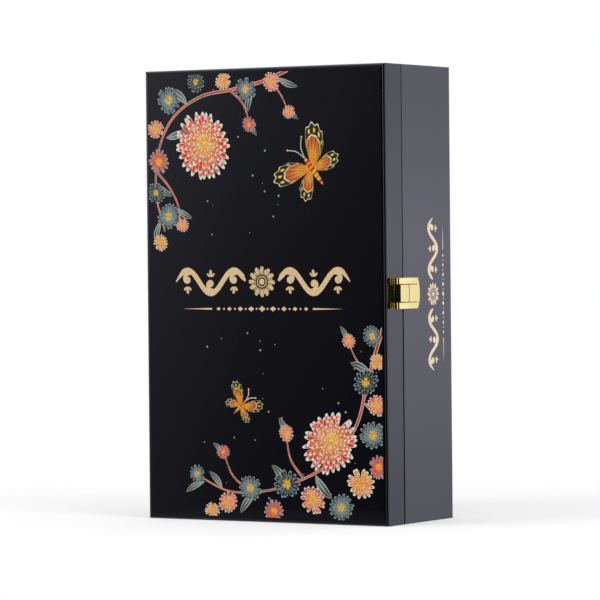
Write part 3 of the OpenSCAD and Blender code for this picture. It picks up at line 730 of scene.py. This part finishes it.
for number, (x, z, reach, kind, lean) in enumerate([
        (9, 348, 8.5, "coral", 0.4), (-15, 343, 10.5, "silver", 1.2), (-36, 350, 8, "gold", 2.0),
        (-88, 336, 12, "silver", 0.7), (-101, 313, 8.5, "coral", 1.7), (-98, 287, 11, "pink", 0.3),
        (-101, 262, 9.5, "shadow", 1.1), (-89, 243, 11.5, "silver", 2.3),
        (-97, 222, 7.5, "gold", 0.6), (-76, 236, 6.5, "coral", 1.4), (-12, 315, 7, "pink", 0.9),
        (25, 324, 6, "coral", 1.9), (-62, 350, 9, "shadow", 0.2),
        (99, 148, 9, "silver", 0.5), (104, 128, 7.5, "gold", 1.3), (93, 112, 12, "shadow", 2.1),
        (103, 94, 9.5, "coral", 0.8), (99, 71, 12.5, "silver", 1.5), (104, 46, 10, "pink", 0.2),
        (88, 33, 13.5, "gold", 1.0), (70, 14, 12, "silver", 2.2), (44, 19, 12.5, "coral", 0.7),
        (20, 31, 13, "shadow", 1.6), (8, 9, 10.5, "pink", 0.1), (-14, 27, 11.5, "silver", 1.2),
        (-35, 15, 9.5, "coral", 2.0), (-64, 37, 8, "silver", 0.5), (-50, 8, 7.5, "gold", 1.3),
        (20, 71, 7.5, "coral", 0.6), (-39, 55, 6.5, "pink", 1.8), (78, 144, 6.5, "coral", 0.9)]):
    aster(x, z, reach, kind, 10 + 16 * (number % 3), lean)
bloom(-56, 299, 29, 60, 0.5)
bloom(60, 64, 27, 60, 2.3)
butterfly(46, 279, 64, 2.25, 60)
butterfly(-22, 92, 36, 0.75, 60)
for left, right, foot, top, count in ((-100, 30, 226, 352, 26), (-60, 104, 8, 150, 34)):
    dots(np.stack([chance.uniform(left, right, count), chance.uniform(foot, top, count)], 1),
         chance.uniform(0.3, 0.9, count), silver, 3)


def gathered(name, shapes, axes=(0, 2)):
    """One object from the points, inks and faces of many shapes, given in millimetres. A face
    whose area over the two axes has the wrong sign is turned over, and one that has no area is
    left out, with the points that only it used."""
    starts = np.cumsum([0] + [len(points) for points, _, _ in shapes[:-1]])
    points = np.vstack([points for points, _, _ in shapes])
    faces = np.vstack([faces + start for (_, _, faces), start in zip(shapes, starts)])
    one, two, three, four = (points[faces[:, corner]][:, axes] for corner in range(4))
    long, wide = three - one, four - two
    area = long[:, 0] * wide[:, 1] - long[:, 1] * wide[:, 0]
    faces[area < 0] = faces[area < 0][:, ::-1]
    used, faces = np.unique(faces[np.abs(area) > 1e-7], return_inverse=True)
    ink = np.vstack([ink for _, ink, _ in shapes])
    return put_mesh(name, points[used] / 1000, faces.reshape(-1, 4), ink[used])


def printed(name, strength):
    """Ink under the clear coat: its colour is the film's own, of the given strength, a little
    uneven where the screen laid it thinner."""
    made, tree, shader = finish_of(name)
    ink = node(tree, "ShaderNodeAttribute", attribute_name="ink").outputs["Color"]
    level = ramp(tree, noise(tree, on_piece(tree), 700.0, 3.0), [(0.3, 0.72), (0.62, 1.08)])
    strong = node(tree, "ShaderNodeHueSaturation",
                  {"Color": mixed(tree, 1.0, ink, level, "MULTIPLY"), "Saturation": strength})
    height = placed(tree, sprayed, waves=1.0, dust=0.05)["height"]
    normal = bump(tree, height, 1.0, wave_depth)
    wire(shader, {"Base Color": strong.outputs[0], "Roughness": 0.4, "Coat Weight": 1.0,
                  "Coat Roughness": coat_roughness, "Normal": normal, "Coat Normal": normal})
    return made


low, high = np.array([(print_x[0], face_y - 1, print_z[0]), (print_x[1], face_y, print_z[1])])
flower_print = gathered("flower_print", [(np.clip(points, low, high), ink, faces)
                                         for points, ink, faces in films])
dress(flower_print, printed("printed_inks", 1.22))
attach(flower_print, "lid")

# The gold ornament: a band of scrolls on both sides of a rosette, over a row of lozenges,
# stamped in pale gold on the lid's face, and again, smaller and upright, on the case's side, where
# its ink is paler and brighter: painted reflection of the white backdrop.
half_wave, wave_rise, wave_start = 22.0, 9.3, 15.0     # millimetres, of the band at full size
row_z, row_step = -21.5, 10.2                          # of the lozenges below it
front_middle, front_gilt = (-1.5, 190.5), (0.70, 0.505, 0.265)
# The side's ink is a lighter copy of the front's: painted reflection.
side_middle, side_gilt_painted_brighter = (face_y + 75.0, 179.5), (0.90, 0.69, 0.43)
side_scale = 0.745


def band(scale, gilt_ink):
    """The ornament's shapes in one ink, flat, about its own middle, in millimetres. The wave is
    a sine; in each half of it a scroll winds in, its radius falling as an exponential of its
    angle, and ends in a berry with three small leaves."""
    films.clear()

    def line(path, half, lift, columns=(-1.0, 0.0, 1.0)):
        ribbon(path, half, np.array(columns),
               np.broadcast_to(gilt_ink, (len(path), len(columns), 3)), lift)

    for side in (1, -1):
        s = np.linspace(wave_start + 0.5, wave_start + 3 * half_wave, 150)
        rise = wave_rise * np.sin((s - wave_start) * math.pi / half_wave)
        line(np.stack([side * s, rise], axis=1),
             2.1 * np.clip((s - 13.5) / 5, 0.35, 1) * np.clip((83 - s) / 9, 0.25, 1), 0)
        for number, way in enumerate((1, -1, 1)):
            middle = wave_start + (number + 0.5) * half_wave
            turn = np.linspace(0.30, 3.3 * math.pi, 110)
            radius = 1.1 + 10.2 * np.exp(-turn / 1.62)
            scroll = np.stack([side * (middle - radius * np.cos(turn)),
                               way * (1.7 + radius * np.sin(turn))], axis=1)
            line(scroll, np.interp(turn, [0, 1.2, 10.4], [0.8, 1.7, 1.1]), 1)
            dots((side * middle, way * 1.7), 2.5, gilt_ink, 2)
            for spread, long in ((-0.8, 4.8), (0.0, 6.2), (0.8, 4.8)):
                petals((side * middle, -way * 3.4), long, 1, 0.34, gilt_ink, gilt_ink, gilt_ink,
                       3, turn=-way * math.pi / 2 + spread, uneven=0.0, inner=0.1, blunt=2.0)
    petals((0, 0), 12.2, 12, 0.17, gilt_ink, gilt_ink, gilt_ink, 4, inner=0.44, uneven=0.0,
           blunt=6.0)
    petals((0, 0), 10.2, 12, 0.075, gilt_ink, gilt_ink, gilt_ink, 0, inner=0.50, uneven=0.0,
           turn=math.pi / 12)
    spoke = np.linspace(0, 2 * math.pi, 48, endpoint=False)[None, None, :]
    ring = np.array([3.7, 4.5])[None, :, None]
    lay(ring * np.cos(spoke), ring * np.sin(spoke), gilt_ink, 1, close=True)
    dots((0, 0), 2.5, gilt_ink, 1)
    place = np.arange(-4, 5)[:, None, None]
    half = 3.1 - 0.28 * np.abs(place)
    corner = np.array([0, 0.5, 1, 1.5]) * math.pi
    ring = np.array([0.02, 1.0])[None, :, None]
    lay(place * row_step + half * ring * np.cos(corner),
        row_z + 0.75 * half * ring * np.sin(corner), gilt_ink, 0, close=True)
    beads = (np.arange(-4, 4) + 0.5) * row_step
    dots(np.stack([beads, np.full_like(beads, row_z)], axis=1), 0.85, gilt_ink, 0)
    for side in (1, -1):
        s = np.linspace(47, 74, 30)
        line(np.stack([side * s, np.full_like(s, row_z)], 1), 0.75 * (75 - s) / 27, 0,
             (-1.0, 1.0))
    return [((points - (0, face_y, 0)) * (scale, 1, scale), ink, faces)
            for points, ink, faces in films]


front_band = gathered("front_ornament", [
    (points + (front_middle[0], face_y, front_middle[1]), ink, faces)
    for points, ink, faces in band(1.0, front_gilt)])
side_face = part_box("case_latch_wall")[1].x * 1000
side_band = gathered("side_ornament", [
    (np.stack([side_face - points[:, 1], side_middle[0] - points[:, 2],
               side_middle[1] + points[:, 0]], axis=1), ink, faces)
    for points, ink, faces in band(side_scale, side_gilt_painted_brighter)], axes=(1, 2))
for piece, body in ((front_band, "lid"), (side_band, "case")):
    dress(piece, printed(piece.name + "_ink", 1.0))
    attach(piece, body)

# Two butt hinges on the left side, each of two leaves let into the edges of the case and the
# lid, with a headed pin through five knuckles and countersunk screws: stamped steel, gilt.
scuffed, given, result = group("handled_metal", ["wear"], ["height", "tone", "roughness"])
lines = noise(scuffed, stretched(scuffed, (2600.0, 260.0, 2600.0), (0.5, 0.2, 0.4)), 1.0, 3.0)
smear = noise(scuffed, on_piece(scuffed), 210.0, 3.0, 0.8)
wire(result, {"height": lines, "tone": sums(scuffed, "MULTIPLY", smear, given["wear"]),
              "roughness": sums(scuffed, "MULTIPLY_ADD", smear, 0.11,
                                sums(scuffed, "MULTIPLY", lines, 0.05))})
# painted shade for grooves and joins in the gilt, and the angle past which an edge is sharp
groove_painted_shade, sharp_angle = (0.17, 0.11, 0.03, 1), math.radians(25)


def gilding(name, bright, dull, shaded_grooves):
    """Polished gilt: bright, with duller smears where it has been handled, fine lines, and painted
    shade in the grooves and joins, whose share a group gives, in dark brown."""
    made, tree, shader = finish_of(name)
    handled = placed(tree, scuffed, wear=1.0)
    gilt = ramp(tree, handled["tone"], [(0.35, bright), (0.75, dull)])
    wire(shader, {"Base Color": mixed(tree, placed(tree, shaded_grooves)["share"], gilt, groove_painted_shade),
                  "Metallic": 1.0, "Roughness": handled["roughness"],
                  "Normal": bump(tree, handled["height"], 0.10, 0.00001)})
    return made


def edged(cad_name, body, material, edge=0.00022):
    """A metal piece: the CAD node, welded, with its sharp edges broken by a small bevel."""
    piece = welded(cad_name + "_finished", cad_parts[cad_name])
    piece.data.set_sharp_from_angle(angle=sharp_angle)
    piece.data.polygons.foreach_set("use_smooth", np.ones(len(piece.data.polygons), bool))
    broken = piece.modifiers.new("broken_edges", "BEVEL")
    broken.width = edge
    broken.segments = 3
    broken.limit_method = "ANGLE"
    broken.angle_limit = sharp_angle
    broken.harden_normals = False
    broken.use_clamp_overlap = True
    dress(piece, material)
    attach(piece, body)
    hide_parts(cad_name)


hinge_low, hinge_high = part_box("upper_hinge_case_leaf")
knuckle = (hinge_high.z - hinge_low.z) / 5
knuckle_reach, groove_half = 0.0049, 0.00025           # across the knuckles, and half a groove
half_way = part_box("case_hinge_wall")[1].z / 2
# Painted shade at the joins between the hinge's knuckles, in a band next to the pin.
knuckle_ends, (x, y, z), result = mask("knuckle_ends")
height = sums(knuckle_ends, "ABSOLUTE", sums(knuckle_ends, "SUBTRACT", z, half_way))
from_end = sums(knuckle_ends, "PINGPONG",
                sums(knuckle_ends, "SUBTRACT", height, hinge_low.z - half_way), knuckle / 2)
near_pin = sums(knuckle_ends, "LESS_THAN", x, hinge_low.x + knuckle_reach)
in_groove = sums(knuckle_ends, "LESS_THAN", from_end, groove_half)
wire(result, {"share": sums(knuckle_ends, "MULTIPLY", near_pin, in_groove)})
hinge_gilt = gilding("hinge_gilt", (0.86, 0.66, 0.27), (0.66, 0.47, 0.17), knuckle_ends)
thin_edge, pin_edge, screw_edge = 0.00015, 0.0001, 0.00005
for level in ("upper", "lower"):
    for kind, body in (("case_leaf", "case"), ("lid_leaf", "lid"), ("pin", "case")):
        edged(f"{level}_hinge_{kind}", body, hinge_gilt, thin_edge)
edged("hinge_screws_case", "case", hinge_gilt, screw_edge)
edged("hinge_screws_lid", "lid", hinge_gilt, screw_edge)

# The latch: a bracket with a curved tongue on the lid, a flap that turns on a pin through it,
# and a catch on the case that the flap's rim snaps over. Sheet brass, stamped, polished and
# gilt; each plate has two screws, hidden under the closed flap.
flap_low, flap_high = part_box("latch_flap")
latch_z = (flap_low.z + flap_high.z) / 2
line_place, line_half, line_stop = 0.0070, 0.00034, 0.0039   # two straight lines over the flap
bow_y, bow_radius, bow_half = -0.0497, 0.01975, 0.00042      # the tongue's curved end
# Painted shade along the flap's two lines and round the tongue's curved end.
latch_lines, (x, y, z), result = mask("latch_lines")
from_middle = sums(latch_lines, "ABSOLUTE", sums(latch_lines, "SUBTRACT", z, latch_z))
straight = sums(latch_lines, "MULTIPLY",
                sums(latch_lines, "COMPARE", from_middle, line_place, line_half),
                sums(latch_lines, "LESS_THAN", y, flap_high.y - line_stop))
along = sums(latch_lines, "SUBTRACT", y, bow_y)
from_centre = sums(latch_lines, "SQRT", sums(
    latch_lines, "ADD", sums(latch_lines, "MULTIPLY", along, along),
    sums(latch_lines, "MULTIPLY", from_middle, from_middle)))
curved = sums(latch_lines, "MULTIPLY",
              sums(latch_lines, "COMPARE", from_centre, bow_radius, bow_half),
              sums(latch_lines, "LESS_THAN", from_middle, line_place))
wire(result, {"share": sums(latch_lines, "MAXIMUM", straight, curved)})
latch_gilt = gilding("latch_gilt", (1.0, 0.85, 0.37), (0.98, 0.79, 0.31), latch_lines)
edged("latch_bracket", "lid", latch_gilt)
edged("latch_pin", "lid", latch_gilt, pin_edge)
edged("bracket_screws", "lid", latch_gilt, screw_edge)
edged("latch_flap", "latch", latch_gilt)
edged("latch_catch", "case", latch_gilt, thin_edge)
edged("catch_screws", "case", latch_gilt, screw_edge)
